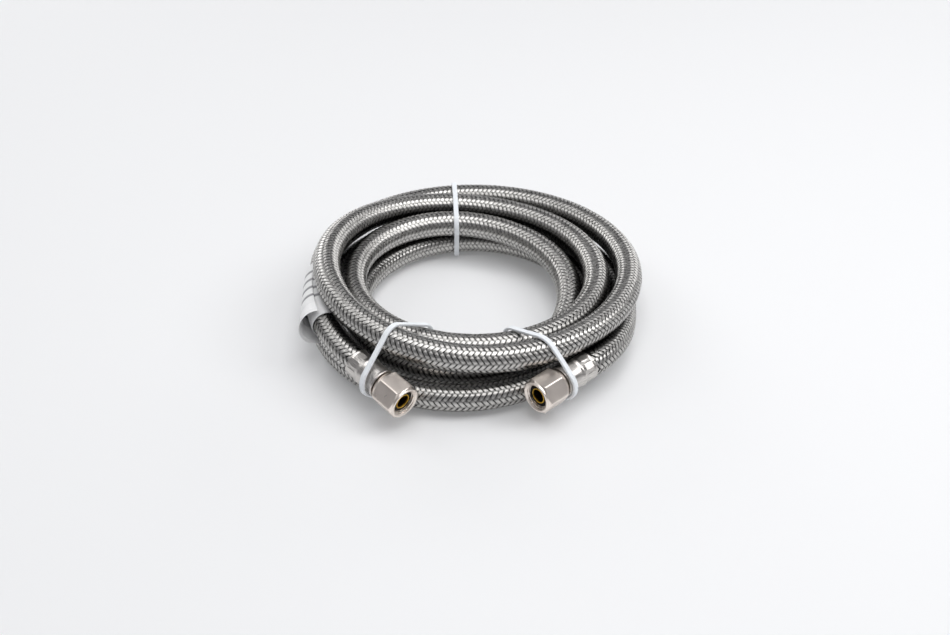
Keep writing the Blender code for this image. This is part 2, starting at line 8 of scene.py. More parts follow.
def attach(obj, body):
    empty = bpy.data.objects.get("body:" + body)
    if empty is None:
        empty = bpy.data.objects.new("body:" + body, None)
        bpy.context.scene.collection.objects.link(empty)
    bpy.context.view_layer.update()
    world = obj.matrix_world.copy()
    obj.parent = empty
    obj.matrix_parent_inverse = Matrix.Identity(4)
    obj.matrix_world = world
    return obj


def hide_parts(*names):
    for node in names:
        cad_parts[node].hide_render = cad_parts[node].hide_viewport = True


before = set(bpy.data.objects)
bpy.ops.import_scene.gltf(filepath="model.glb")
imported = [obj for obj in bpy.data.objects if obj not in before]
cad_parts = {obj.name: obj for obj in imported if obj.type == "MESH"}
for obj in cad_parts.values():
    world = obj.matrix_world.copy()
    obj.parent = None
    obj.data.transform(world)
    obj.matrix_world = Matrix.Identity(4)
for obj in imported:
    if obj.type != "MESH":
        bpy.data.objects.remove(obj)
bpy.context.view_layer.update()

# The route of the hose, as in the CAD, in metres

HOSE_R = 0.0059
TURN_GAP = 0.0007
FIT_GAP = 0.0003
PITCH = 2 * HOSE_R + TURN_GAP
INNER_TURN_R = 0.0472
STATIONS_PER_TURN = 24
LEAD_IN_STEPS = 6
SETTLE_ROUNDS = 200
SETTLE_SMOOTHING = 0.01
FINE_STEPS = 12
TIE_THICK = 0.0014
BAND_WIDTH = 0.0023
BAND_THICK = 0.0012
FLOOR_ROW_Z = TIE_THICK + FIT_GAP + HOSE_R
FERRULE_LENGTH = 0.0164
FERRULE_R = 0.0061
FERRULE_WALL = 0.0006
FERRULE_RING_R = 0.0066
CRIMP_LENGTH = 0.0060
FERRULE_TIP_Z = 0.0022
FERRULE_REAR_Z = FERRULE_TIP_Z - FERRULE_LENGTH
FERRULE_FRONT_Z = 0.0014
STEM_NECK_R = 0.0030
STEM_HEAD_R = 0.0047
NOSE_R = 0.0033
NOSE_BORE_R = 0.00298
NUT_FLATS = 0.0140
NUT_REAR_Z = 0.0025
NUT_MOUTH_Z = 0.0161
SOCKET_Z = 0.0045
HEAD_Z = 0.0093
HEAD_FRONT_Z = 0.0104
NOSE_TIP_Z = 0.0146
WASHER_Z = 0.0107
WASHER_FRONT_Z = 0.0144
THREAD_MINOR_R = 0.00505
THREAD_MAJOR_R = 0.00556
THREAD_PITCH = 0.00106
MOUTH_R = 0.0061
LABEL_PAPER = 0.00018
LABEL_LENGTH = 0.0400
LABEL_START = 0.0270
LABEL_BULGE = 0.0056
LABEL_FLARE = 3
LABEL_FIRST_TURN = 130.0
LABEL_LAST_TURN = 610.0
LABEL_LIFTS_AT = 445.0
LABEL_ROWS = 6.4

END_A_REAR = (-125.86, 2.383, 0.928)
END_A_HEADING = -45.7
END_A_DIP = 8.5
END_B_REAR = (-49.29, 2.430, 0.552)
END_B_HEADING = -137.7
END_B_DIP = 1.0
LEAD_OUT = [
    (-6.41, 1.883, 0.064), (-12.87, 1.935, 0.088), (-19.19, 2.018, 0.160), (-25.38, 2.121, 0.256),
    (-31.42, 2.224, 0.360), (-37.43, 2.319, 0.456), (-43.53, 2.392, 0.520),
]
TIE_FEET = {
    "tie_back": ((98.72, -1.348), (95.92, 0.648), (94.71, 3.047)),
    "tie_left": ((-104.53, -0.652), (-114.79, 1.203)),
    "tie_right": ((-71.18, -0.057), (-64.59, 1.538)),
}
TIE_OVER_FERRULE = {"tie_left": ("a", 0.0115), "tie_right": ("b", 0.0156)}
TIE_PAST_FERRULE = 0.0100
FIRST_SLOT_AZIMUTH = 180.0
SLOT_STEP = 45.0
SLOTS = [
    (1.44, 1.02), (1.75, 0.86), (1.88, 0.76), (2.30, 0.73),
    (2.03, 1.08), (1.80, 1.42), (1.90, 1.38), (1.57, 2.00),
    (1.00, 2.15), (1.00, 1.42), (0.70, 0.92), (0.79, 0.92),
    (0.92, 1.00), (0.90, 1.00), (0.52, 0.88), (0.35, 0.92),
    (0.35, 1.08), (0.00, 1.00), (-0.37, 0.91), (-0.48, 0.73),
    (-0.09, 0.67), (0.48, 0.00), (0.62, 0.00), (0.60, 0.00),
    (0.14, 0.00), (-0.06, 0.00), (0.00, 0.00), (0.22, 0.00),
    (0.60, 0.00), (1.24, 0.00), (2.22, 0.00), (1.86, 0.00),
    (1.34, 0.00), (1.12, 0.00), (1.12, 0.00), (1.42, 0.00),
    (1.85, 0.06),
]
COIL_SHIFT = (-0.00212, 0.00526)
SHIFT = Vector((*COIL_SHIFT, 0))

# Camera: the photograph's view

VIEW_ELEVATION = math.radians(36.45)
VIEW_DISTANCE = 0.579
VIEW_TARGET = Vector((0.00377, -0.02318, 0.01287)) + SHIFT
camera_data = bpy.data.cameras.new("camera")
camera_data.lens = 50.0
camera_data.sensor_width = 36.0
camera = bpy.data.objects.new("camera", camera_data)
bpy.context.scene.collection.objects.link(camera)
look = Vector((0, math.cos(VIEW_ELEVATION), -math.sin(VIEW_ELEVATION)))
camera.location = VIEW_TARGET - look * VIEW_DISTANCE
camera.rotation_euler = (math.pi / 2 - VIEW_ELEVATION, 0, 0)
bpy.context.scene.camera = camera


def through_points(values, per_step):
    padded = np.vstack([2 * values[0] - values[1], values, 2 * values[-1] - values[-2]])
    out = []
    for i in range(len(values) - 1):
        before, start, end, after = padded[i:i + 4]
        for k in range(per_step):
            t = k / per_step
            out.append(0.5 * (2 * start + (end - before) * t
                              + (2 * before - 5 * start + 4 * end - after) * t ** 2
                              + (3 * start - before - 3 * end + after) * t ** 3))
    out.append(values[-1])
    return np.array(out)


def settle_turns(section):
    for _ in range(SETTLE_ROUNDS):
        for turns in range(1, len(section) // STATIONS_PER_TURN + 1):
            offset = turns * STATIONS_PER_TURN
            if offset >= len(section):
                continue
            apart = section[offset:] - section[:-offset]
            distance = np.linalg.norm(apart, axis=1, keepdims=True)
            short = np.clip(PITCH - distance, 0, None)
            push = 0.5 * short * apart / distance
            section[offset:] += push
            section[:-offset] -= push
        section[1:-1] += SETTLE_SMOOTHING * (section[2:] + section[:-2] - 2 * section[1:-1])
        section[:, 1] = np.maximum(section[:, 1], FLOOR_ROW_Z)
    return section


def direction(heading, dip):
    level = math.cos(math.radians(dip))
    return Vector((level * math.cos(math.radians(heading)),
                   level * math.sin(math.radians(heading)),
                   -math.sin(math.radians(dip))))


def beside_coil(azimuth, columns, rows=0.0):
    """The point at an azimuth, so many columns outward from the innermost turn and rows up."""
    radius = INNER_TURN_R + columns * PITCH
    turn = math.radians(azimuth)
    return Vector((radius * math.cos(turn), radius * math.sin(turn), FLOOR_ROW_Z + rows * PITCH))


def join_curve(start, start_way, end, end_way, count):
    reach = (end - start).length
    out = []
    for k in range(1, count):
        t = k / count
        out.append(start * (2 * t ** 3 - 3 * t ** 2 + 1) + start_way * reach * (t ** 3 - 2 * t ** 2 + t)
                   + end * (3 * t ** 2 - 2 * t ** 3) + end_way * reach * (t ** 3 - t ** 2))
    return out


def coil_points():
    per_slot = round(STATIONS_PER_TURN * SLOT_STEP / 360)
    section = through_points(np.array(SLOTS), per_slot) * PITCH + np.array([INNER_TURN_R, FLOOR_ROW_Z])
    section = settle_turns(section)
    points = []
    for i, (radius, height) in enumerate(section):
        azimuth = math.radians(FIRST_SLOT_AZIMUTH - i * 360 / STATIONS_PER_TURN)
        points.append(Vector((radius * math.cos(azimuth), radius * math.sin(azimuth), height)))
    return points


def hose_route():
    coil = coil_points()
    start = beside_coil(*END_A_REAR)
    way_in = (coil[1] - coil[0]).normalized()
    way_out = -direction(END_A_HEADING, END_A_DIP)
    lead_in = join_curve(start, way_out, coil[0], way_in, LEAD_IN_STEPS)
    lead_out = [beside_coil(*place) for place in LEAD_OUT + [END_B_REAR]]
    route = [start] + lead_in + coil + lead_out
    return [point + SHIFT for point in route]


WAY_A = direction(END_A_HEADING, END_A_DIP)
WAY_B = direction(END_B_HEADING, END_B_DIP)
ROUTE = hose_route()


def smooth_line(route):
    """The route as a finely sampled smooth curve that leaves both ferrules straight."""
    lead = 0.012
    points = [route[0] + WAY_A * lead] + route + [route[-1] + WAY_B * lead]
    fine = through_points(np.array([tuple(p) for p in points]), FINE_STEPS)
    return fine[FINE_STEPS:-FINE_STEPS]


def frames_along(line):
    """Unit tangents, and side and up directions that turn as little as they can."""
    tangents = np.gradient(line, axis=0)
    tangents /= np.linalg.norm(tangents, axis=1, keepdims=True)
    side = np.cross(tangents[0], (0, 0, 1))
    side /= np.linalg.norm(side)
    sides = []
    for tangent in tangents:
        side = side - tangent * side.dot(tangent)
        side = side / np.linalg.norm(side)
        sides.append(side)
    sides = np.array(sides)
    return tangents, sides, np.cross(sides, tangents)


def resample(line, step):
    lengths = np.concatenate([[0], np.cumsum(np.linalg.norm(np.diff(line, axis=0), axis=1))])
    count = int(round(lengths[-1] / step))
    at = np.linspace(0, lengths[-1], count + 1)
    return np.stack([np.interp(at, lengths, line[:, k]) for k in range(3)], axis=1), at


def set_painted_shade(mesh, values):
    """Give each point of the mesh a value, which its material reads as lift: painted shade, darker where the
    value is lower.
    """
    layer = mesh.attributes.new("lift", "FLOAT", "POINT")
    layer.data.foreach_set("value", values.reshape(-1).astype(np.float32))


def grid_piece(name, grid, wrap_rows=False, wrap_cols=True, uv=None, lift=None, sharp=None):
    """A quad mesh over a grid of points (rows, cols, 3), smooth shaded."""
    rows, cols, _ = grid.shape
    mesh = bpy.data.meshes.new(name)
    index = np.arange(rows * cols).reshape(rows, cols)
    if wrap_rows:
        index = np.vstack([index, index[:1]])
    if wrap_cols:
        index = np.hstack([index, index[:, :1]])
    quads = np.stack([index[:-1, :-1], index[:-1, 1:], index[1:, 1:], index[1:, :-1]], axis=-1)
    fill_mesh(mesh, grid.reshape(-1, 3), quads.reshape(-1, 4))
    if uv is not None:
        u, v = uv
        urow = np.concatenate([u, [u[-1] * 2 - u[-2]]]) if wrap_cols else u
        vrow = np.concatenate([v, [v[-1] * 2 - v[-2]]]) if wrap_rows else v
        uu, vv = np.meshgrid(urow, vrow)
        table = np.stack([uu, vv], axis=-1)
        corners = np.stack([table[:-1, :-1], table[:-1, 1:], table[1:, 1:], table[1:, :-1]], axis=2)
        layer = mesh.uv_layers.new(name="map")
        layer.data.foreach_set("uv", corners.reshape(-1).astype(np.float32))
    if lift is not None:
        set_painted_shade(mesh, lift)
    mesh.shade_smooth()
    if sharp is not None:
        mesh.set_sharp_from_angle(angle=math.radians(sharp))
    obj = bpy.data.objects.new(name, mesh)
    bpy.context.scene.collection.objects.link(obj)
    return obj


def fill_mesh(mesh, points, quads):
    mesh.vertices.add(len(points))
    mesh.vertices.foreach_set("co", points.reshape(-1).astype(np.float32))
    mesh.loops.add(quads.size)
    mesh.loops.foreach_set("vertex_index", quads.reshape(-1).astype(np.int32))
    mesh.polygons.add(len(quads))
    mesh.polygons.foreach_set("loop_start", np.arange(0, quads.size, 4, dtype=np.int32))
    mesh.update(calc_edges=True)
    mesh.validate()


# Materials

NOISE_LOW = 0.3
NOISE_HIGH = 0.7
# Where along the label the painted crease shade lies
LABEL_CREASE_SHADE_MIDDLE = 0.56
LABEL_CREASE_SHADE_REACH = 0.31
WIRES_IN_RIBBON = 7


def new_material(name, colour, roughness, metallic):
    made = bpy.data.materials.new(name)
    made.use_nodes = True
    shader = made.node_tree.nodes["Principled BSDF"]
    shader.inputs["Base Color"].default_value = (*colour, 1.0)
    shader.inputs["Roughness"].default_value = roughness
    shader.inputs["Metallic"].default_value = metallic
    return made, made.node_tree.nodes, made.node_tree.links, shader


def math_node(nodes, links, operation, first, second=None, clamp=False):
    node = nodes.new("ShaderNodeMath")
    node.operation = operation
    node.use_clamp = clamp
    for socket, value in zip(node.inputs, (first, second)):
        if isinstance(value, (int, float)):
            socket.default_value = value
        elif value is not None:
            links.new(value, socket)
    return node.outputs[0]


def noise(nodes, links, vector, scale, detail=3.0, rough=0.5):
    node = nodes.new("ShaderNodeTexNoise")
    node.inputs["Scale"].default_value = scale
    node.inputs["Detail"].default_value = detail
    node.inputs["Roughness"].default_value = rough
    links.new(vector, node.inputs["Vector"])
    return node.outputs["Fac"]


def ramp(nodes, links, value, low, high, start=0.0, end=1.0):
    node = nodes.new("ShaderNodeMapRange")
    node.inputs["From Min"].default_value = start
    node.inputs["From Max"].default_value = end
    node.inputs["To Min"].default_value = low
    node.inputs["To Max"].default_value = high
    links.new(value, node.inputs["Value"])
    return node.outputs["Result"]


def colour_between(nodes, links, factor, first, second):
    node = nodes.new("ShaderNodeMix")
    node.data_type = "RGBA"
    node.inputs["A"].default_value = (*first, 1.0)
    node.inputs["B"].default_value = (*second, 1.0)
    links.new(factor, node.inputs["Factor"])
    return node.outputs["Result"]


def paint(nodes, links, shader, factor, first, second):
    """Mix the base colour from two colours by the factor."""
    links.new(colour_between(nodes, links, factor, first, second), shader.inputs["Base Color"])


def spread(nodes, links, value, low, high):
    """Stretch a noise, which stays near its middle, over the range from low to high."""
    return ramp(nodes, links, value, low, high, NOISE_LOW, NOISE_HIGH)


def roughen(nodes, links, shader, value, low, high):
    """Vary the roughness with a noise."""
    links.new(spread(nodes, links, value, low, high), shader.inputs["Roughness"])


def object_coords(nodes):
    return nodes.new("ShaderNodeTexCoord").outputs["Object"]


def stretched(nodes, links, vector, scale):
    node = nodes.new("ShaderNodeMapping")
    node.inputs["Scale"].default_value = scale
    links.new(vector, node.inputs["Vector"])
    return node.outputs["Vector"]


def bump(nodes, links, shader, height, strength, distance):
    node = nodes.new("ShaderNodeBump")
    node.inputs["Strength"].default_value = strength
    node.inputs["Distance"].default_value = distance
    links.new(height, node.inputs["Height"])
    links.new(node.outputs["Normal"], shader.inputs["Normal"])


def strand_material(name, wires):
    made, nodes, links, shader = new_material(name, (0.5, 0.49, 0.47), 0.26, 1.0)
    uv = nodes.new("ShaderNodeUVMap")
    uv.uv_map = "map"
    split = nodes.new("ShaderNodeSeparateXYZ")
    links.new(uv.outputs["UV"], split.inputs["Vector"])
    # Painted shade: dark lines between the wires of each ribbon
    turns = math_node(nodes, links, "MULTIPLY", split.outputs["X"], 2 * math.pi * wires)
    lines = math_node(nodes, links, "COSINE", turns)
    shade_between_wires = ramp(nodes, links, lines, 1.0, 0.45, -0.2, 1.0)
    # Painted shade from the lift attribute: darker where a ribbon dips under the crossing ones, at its edges
    # and in the grooves between turns
    high = nodes.new("ShaderNodeAttribute")
    high.attribute_name = "lift"
    grain = noise(nodes, links, object_coords(nodes), 420.0)
    painted_shade = ramp(nodes, links, high.outputs["Fac"], 0.04, 1.0, 0.0, 0.92)
    uneven = spread(nodes, links, grain, 0.80, 1.1)
    shade = math_node(nodes, links, "MULTIPLY", painted_shade, uneven)
    shade = math_node(nodes, links, "MULTIPLY", shade, shade_between_wires, True)
    paint(nodes, links, shader, shade, (0.012, 0.0115, 0.0105), (0.74, 0.725, 0.70))
    roughen(nodes, links, shader, grain, 0.24, 0.34)
    bump(nodes, links, shader, lines, 0.22, 0.00004)
    across = nodes.new("ShaderNodeTangent")
    across.direction_type = "UV_MAP"
    across.uv_map = "map"
    links.new(across.outputs["Tangent"], shader.inputs["Tangent"])
    shader.inputs["Anisotropic"].default_value = 0.6
    return made


# Painted shade: a near-black shell just under the braid, which shows as shade in the gaps between the
# ribbons
def shade_shell_material():
    made, nodes, links, shader = new_material("painted_shade_under_braid", (0.05, 0.05, 0.05), 0.6, 0.6)
    grain = noise(nodes, links, object_coords(nodes), 900.0)
    paint(nodes, links, shader, grain, (0.006, 0.006, 0.006), (0.03, 0.03, 0.028))
    bump(nodes, links, shader, grain, 0.3, 0.0001)
    return made


def nickel_material():
    made, nodes, links, shader = new_material("satin_nickel", (0.74, 0.68, 0.64), 0.26, 1.0)
    coords = object_coords(nodes)
    cloud = noise(nodes, links, coords, 160.0, 4.0, 0.6)
    fine = noise(nodes, links, coords, 2600.0, 2.0)
    paint(nodes, links, shader, cloud, (0.80, 0.72, 0.655), (0.96, 0.88, 0.81))
    roughen(nodes, links, shader, cloud, 0.26, 0.36)
    bump(nodes, links, shader, fine, 0.06, 0.00004)
    return made


def ferrule_material():
    made, nodes, links, shader = new_material("brushed_ferrule", (0.70, 0.67, 0.64), 0.24, 1.0)
    uv = nodes.new("ShaderNodeUVMap")
    uv.uv_map = "map"
    along = stretched(nodes, links, uv.outputs["UV"], (90.0, 2.2, 1.0))
    streaks = noise(nodes, links, along, 1.0, 5.0, 0.65)
    shade = spread(nodes, links, streaks, 0.0, 1.0)
    paint(nodes, links, shader, shade, (0.40, 0.385, 0.365), (0.80, 0.765, 0.735))
    roughen(nodes, links, shader, streaks, 0.26, 0.38)
    bump(nodes, links, shader, streaks, 0.12, 0.00004)
    return made


def brass_material():
    made, nodes, links, shader = new_material("turned_brass", (0.90, 0.64, 0.22), 0.22, 1.0)
    coords = object_coords(nodes)
    rough = noise(nodes, links, coords, 900.0)
    # Painted shade: the bore, where lift is 0, is painted near black; elsewhere the brass gets a random tone
    bore_shade_attribute = nodes.new("ShaderNodeAttribute")
    bore_shade_attribute.attribute_name = "lift"
    uneven = spread(nodes, links, rough, 0.8, 1.0)
    shade_and_tone = math_node(nodes, links, "MULTIPLY", bore_shade_attribute.outputs["Fac"], uneven)
    paint(nodes, links, shader, shade_and_tone, (0.05, 0.022, 0.008), (1.0, 0.62, 0.09))
    roughen(nodes, links, shader, rough, 0.34, 0.46)
    bump(nodes, links, shader, rough, 0.1, 0.00003)
    return made


def rubber_material():
    made, nodes, links, shader = new_material("black_rubber", (0.012, 0.012, 0.012), 0.5, 0.0)
    grain = noise(nodes, links, object_coords(nodes), 1500.0)
    paint(nodes, links, shader, grain, (0.004, 0.004, 0.004), (0.012, 0.012, 0.012))
    links.new(ramp(nodes, links, grain, 0.42, 0.62), shader.inputs["Roughness"])
    bump(nodes, links, shader, grain, 0.2, 0.00005)
    shader.inputs["Specular IOR Level"].default_value = 0.08
    return made


def band_material():
    made, nodes, links, shader = new_material("white_band", (0.84, 0.88, 0.93), 0.38, 0.0)
    grain = noise(nodes, links, object_coords(nodes), 600.0)
    paint(nodes, links, shader, grain, (0.86, 0.895, 0.94), (0.92, 0.95, 0.985))
    links.new(ramp(nodes, links, grain, 0.30, 0.50), shader.inputs["Roughness"])
    shader.inputs["Subsurface Weight"].default_value = 0.15
    shader.inputs["Subsurface Radius"].default_value = (0.002, 0.002, 0.002)
    bump(nodes, links, shader, grain, 0.15, 0.00008)
    return made


def paper_material():
    made, nodes, links, shader = new_material("label_paper", (0.88, 0.88, 0.88), 0.62, 0.0)
    coords = object_coords(nodes)
    fibre = noise(nodes, links, coords, 1400.0, 4.0, 0.6)
    uv = nodes.new("ShaderNodeUVMap")
    uv.uv_map = "map"
    split = nodes.new("ShaderNodeSeparateXYZ")
    links.new(uv.outputs["UV"], split.inputs["Vector"])
    # Painted shade: dark bars in the label's crease rows, in the middle part of its length, over the paper's
    # random fibre tone
    along = math_node(nodes, links, "MULTIPLY", split.outputs["Y"], 2 * math.pi * LABEL_ROWS)
    wave = math_node(nodes, links, "SINE", along)
    bars = ramp(nodes, links, wave, 0.0, 1.0, 0.30, 0.95)
    from_middle = math_node(nodes, links, "SUBTRACT", split.outputs["Y"], LABEL_CREASE_SHADE_MIDDLE)
    from_middle = math_node(nodes, links, "ABSOLUTE", from_middle)
    window = math_node(nodes, links, "LESS_THAN", from_middle, LABEL_CREASE_SHADE_REACH)
    crease_shade = math_node(nodes, links, "MULTIPLY", bars, window)
    crease_shade = math_node(nodes, links, "MULTIPLY", crease_shade, 0.95, True)
    shade_and_tone = math_node(nodes, links, "ADD", crease_shade, spread(nodes, links, fibre, 0.0, 0.10), True)
    paint(nodes, links, shader, shade_and_tone, (0.90, 0.90, 0.90), (0.26, 0.26, 0.27))
    bump(nodes, links, shader, fibre, 0.25, 0.00008)
    return made


def tube_material():
    made, nodes, links, shader = new_material("clear_tube", (0.80, 0.82, 0.81), 0.35, 0.0)
    grain = noise(nodes, links, object_coords(nodes), 300.0)
    links.new(ramp(nodes, links, grain, 0.28, 0.42), shader.inputs["Roughness"])
    return made


# The hose

hose_body = "hose"
line_raw = smooth_line(ROUTE)
SHADE_SHELL_R = 0.00540
TUBE_R = 0.0048
BRAID_MID_R = 0.00570
BRAID_WAVE = 0.00020
RIBBON_CROWN = 0.00011
RIBBON_WIDTH = 0.00146
CARRIERS = 12
CELL = 0.00225
BRAID_STEP = CELL / 4
GROOVE_PROBE = 0.0045
GROOVE_FADE = 0.0034
GROOVE_SHADE = 0.84
MIDDLES_STEP = 4
EDGE_SHADE = 0.22
WAVE_CLIP = 1.5
MAP_PER_METRE = 100
CRIMPED_SHARE = 0.93
CARRIED_IN = 0.003
NARROW_FROM = 0.0002
NARROW_OVER = 0.0022
GROOVE_SLACK = 0.0002
CORE_STEP = 0.0022
ROUND_STEPS = 20


def end_narrowing(at, total):
    """How far the sleeve is drawn in at each place, from 1 in the open to its crimped size."""
    from_end = np.minimum(at, total - at)
    t = np.clip((from_end - NARROW_FROM) / NARROW_OVER, 0, 1)
    return CRIMPED_SHARE + (1 - CRIMPED_SHARE) * t * t * (3 - 2 * t)


def carried_in(line):
    """The line with a short straight stretch added inside each ferrule."""
    steps = np.array([1 / 3, 2 / 3, 1.0]) * CARRIED_IN
    before = [line[0] + np.array(WAY_A) * d for d in steps[::-1]]
    after = [line[-1] + np.array(WAY_B) * d for d in steps]
    return np.vstack([before, line, after])


def open_to_air(line, outward):
    """How much painted shade the braid gets from the turns beside it: 1 where the braid faces open air,
    falling towards 1 - GROOVE_SHADE where it lies in the groove beside another turn.
    """
    probe = line + outward * (BRAID_MID_R + GROOVE_PROBE)
    middles = line[::MIDDLES_STEP]
    squared = (np.sum(probe ** 2, axis=1)[:, None] + np.sum(middles ** 2, axis=1)[None]
               - 2 * probe @ middles.T)
    nearest = np.sqrt(np.min(np.maximum(squared, 0), axis=1))
    short = BRAID_MID_R + GROOVE_PROBE - GROOVE_SLACK - nearest
    return 1 - GROOVE_SHADE * np.clip(short / GROOVE_FADE, 0, 1)


def ribbons(name, way, material):
    line, at = resample(carried_in(line_raw), BRAID_STEP)
    tangents, sides, ups = frames_along(line)
    total = at[-1]
    narrow = end_narrowing(at - CARRIED_IN, total - 2 * CARRIED_IN)
    turn_rate = math.pi / (2 * CARRIERS * total / (len(at) - 1))
    across = np.array([-0.5, 0.0, 0.5]) * RIBBON_WIDTH
    crown = np.array([-0.45, 0.55, -0.45]) * RIBBON_CROWN
    slope = math.atan(BRAID_MID_R * turn_rate)
    points = []
    painted_shade_levels = []
    u = CARRIERS * turn_rate * at / math.pi
    for k in range(CARRIERS):
        if way > 0:
            wave = np.cos(math.pi / 2 * (u + 2 * k - 0.5))
        else:
            wave = -np.cos(math.pi / 2 * (2 * k - u - 0.5))
        wave = np.clip(WAVE_CLIP * wave, -1, 1)
        theta = 2 * math.pi * k / CARRIERS + way * turn_rate * at
        outward = sides * np.cos(theta)[:, None] + ups * np.sin(theta)[:, None]
        openness = open_to_air(line, outward)
        for w, c in zip(across, crown):
            angle = theta - way * w * math.cos(slope) / BRAID_MID_R
            along = w * math.sin(slope)
            radius = (BRAID_MID_R + BRAID_WAVE * wave + c) * narrow
            centre = line + tangents * along
            radial = sides * np.cos(angle)[:, None] + ups * np.sin(angle)[:, None]
            points.append(centre + radial * radius[:, None])
            # Painted shade: the lift falls where the ribbon dips under the crossing ones, at its edges and
            # in the grooves beside other turns
            edge = 0.0 if c > 0 else EDGE_SHADE
            painted_shade_levels.append(openness * np.clip(0.5 + 0.5 * wave - edge, 0, 1))
    count = len(line)
    points = np.array(points)
    mesh = bpy.data.meshes.new(name)
    base = np.arange(count - 1)
    v_of = np.repeat(at[:-1, None] * MAP_PER_METRE, 4, axis=1)
    quads = []
    uvs = []
    for k in range(CARRIERS):
        for j in range(2):
            first = (3 * k + j) * count + base
            second = first + count
            if way > 0:
                quads.append(np.stack([first, second, second + 1, first + 1], axis=1))
                u_of = np.array([j, j + 1, j + 1, j]) / 2
            else:
                quads.append(np.stack([first, first + 1, second + 1, second], axis=1))
                u_of = np.array([j, j, j + 1, j + 1]) / 2
            uvs.append(np.stack([np.broadcast_to(u_of, (count - 1, 4)), v_of], axis=-1))
    fill_mesh(mesh, points.reshape(-1, 3), np.concatenate(quads))
    mesh.uv_layers.new(name="map").data.foreach_set("uv", np.concatenate(uvs).reshape(-1).astype(np.float32))
    set_painted_shade(mesh, np.array(painted_shade_levels))
    mesh.shade_smooth()
    obj = bpy.data.objects.new(name, mesh)
    bpy.context.scene.collection.objects.link(obj)
    obj.data.materials.append(material)
    return obj


steel = strand_material("braid_wire", WIRES_IN_RIBBON)
braid_right = ribbons("braid_right", 1, steel)
braid_left = ribbons("braid_left", -1, steel)

# A near-black shell just under the braid, painted shade for the gaps between the ribbons, and the clear tube
# inside it
inside = -FERRULE_REAR_Z
core_path = np.vstack([[line_raw[0] + np.array(WAY_A) * d for d in (inside, inside * 0.5)], line_raw,
                       [line_raw[-1] + np.array(WAY_B) * d for d in (inside * 0.5, inside)]])
core_line, core_at = resample(core_path, CORE_STEP)
_, core_sides, core_ups = frames_along(core_line)
turns = np.linspace(0, 2 * math.pi, ROUND_STEPS, endpoint=False)
shade_shell_radii = end_narrowing(core_at - inside, core_at[-1] - 2 * inside) * SHADE_SHELL_R
shade_shell_grid = core_line[:, None] + shade_shell_radii[:, None, None] * (
    core_sides[:, None] * np.cos(turns)[None, :, None] + core_ups[:, None] * np.sin(turns)[None, :, None])
shade_shell = grid_piece("shade_shell", shade_shell_grid)
shade_shell.data.materials.append(shade_shell_material())
tube_grid = core_line[:, None] + TUBE_R * (
    core_sides[:, None] * np.cos(turns)[None, :, None] + core_ups[:, None] * np.sin(turns)[None, :, None])
tube_kept = (core_at > inside) & (core_at < core_at[-1] - inside)
tube = grid_piece("tube_inside", tube_grid[tube_kept])
tube.data.materials.append(tube_material())


# Fittings

def fitting_frame(rear, way):
    turn = way.to_track_quat("Z", "X").to_matrix().to_4x4()
    return Matrix.Translation(rear - way * FERRULE_REAR_Z) @ turn


FITTINGS = {"a": (ROUTE[0], WAY_A), "b": (ROUTE[-1], WAY_B)}
FRAME_A = fitting_frame(*FITTINGS["a"])
FRAME_B = fitting_frame(*FITTINGS["b"])


def to_world(matrix, grid):
    flat = grid.reshape(-1, 3) @ np.array(matrix.to_3x3()).T + np.array(matrix.translation)
    return flat.reshape(grid.shape)


def lathe_grid(profile, steps, radius_of=None):
    """Points of a turned surface; radius_of(radius, z, angle) may shape it away from round."""
    angles = np.linspace(0, 2 * math.pi, steps, endpoint=False)
    profile = np.array(profile)
    r = np.repeat(profile[:, :1], steps, axis=1)
    z = np.repeat(profile[:, 1:], steps, axis=1)
    a = np.repeat(angles[None], len(profile), axis=0)
    if radius_of is not None:
        r, z = radius_of(r, z, a)
    return np.stack([r * np.cos(a), r * np.sin(a), z], axis=-1)


def rounded(profile, bevel=0.00012, cuts=2, closed=True):
    """The profile with each corner replaced by a small arc."""
    points = [np.array(p) for p in profile]
    out = []
    for i, point in enumerate(points):
        if not closed and i in (0, len(points) - 1):
            out.append(point)
            continue
        before = points[i - 1] - point
        after = points[(i + 1) % len(points)] - point
        reach = min(bevel, 0.45 * np.linalg.norm(before), 0.45 * np.linalg.norm(after))
        start = point + before / np.linalg.norm(before) * reach
        end = point + after / np.linalg.norm(after) * reach
        for k in range(cuts + 1):
            t = k / cuts
            out.append((1 - t) ** 2 * start + 2 * t * (1 - t) * point + t * t * end)
    return out


def denser(profile, longest):
    """The closed profile with points added on its long stretches."""
    out = []
    for start, end in zip(profile, profile[1:] + profile[:1]):
        pieces = max(1, math.ceil(float(np.linalg.norm(np.array(end) - np.array(start))) / longest))
        for k in range(pieces):
            out.append(np.array(start) + (np.array(end) - np.array(start)) * k / pieces)
    return out


def turned_piece(name, matrix, profile, steps, material, radius_of=None, sharp=40.0):
    grid = to_world(matrix, lathe_grid(profile, steps, radius_of))
    lengths = np.array(profile)[:, 1] * MAP_PER_METRE
    uv = (np.linspace(0, 1, steps, endpoint=False), lengths)
    # Points in the bore get lift 0, which the brass material paints near black as shade inside the bore
    in_bore = [radius < NOSE_BORE_R + 0.00002 and z < NOSE_TIP_Z - 0.00012 for radius, z in profile]
    lift = np.repeat(np.where(in_bore, 0.0, 1.0)[:, None], steps, axis=1)
    obj = grid_piece(name, grid, wrap_rows=True, uv=uv, lift=lift, sharp=sharp)
    obj.data.materials.append(material)
    return obj


def smooth_step(low, high, value):
    t = np.clip((value - low) / (high - low), 0, 1)
    return t * t * (3 - 2 * t)


CRIMP_PADS = 8
PADS_FROM_REAR = 0.0008
PADS_SHORT_OF_ZONE = 0.0003
PAD_FLAT_SHARE = 0.950
RIDGE_DIP = 0.00030
BEAD_RISE = 0.00034
BEAD_PAST_CRIMP = 0.0012


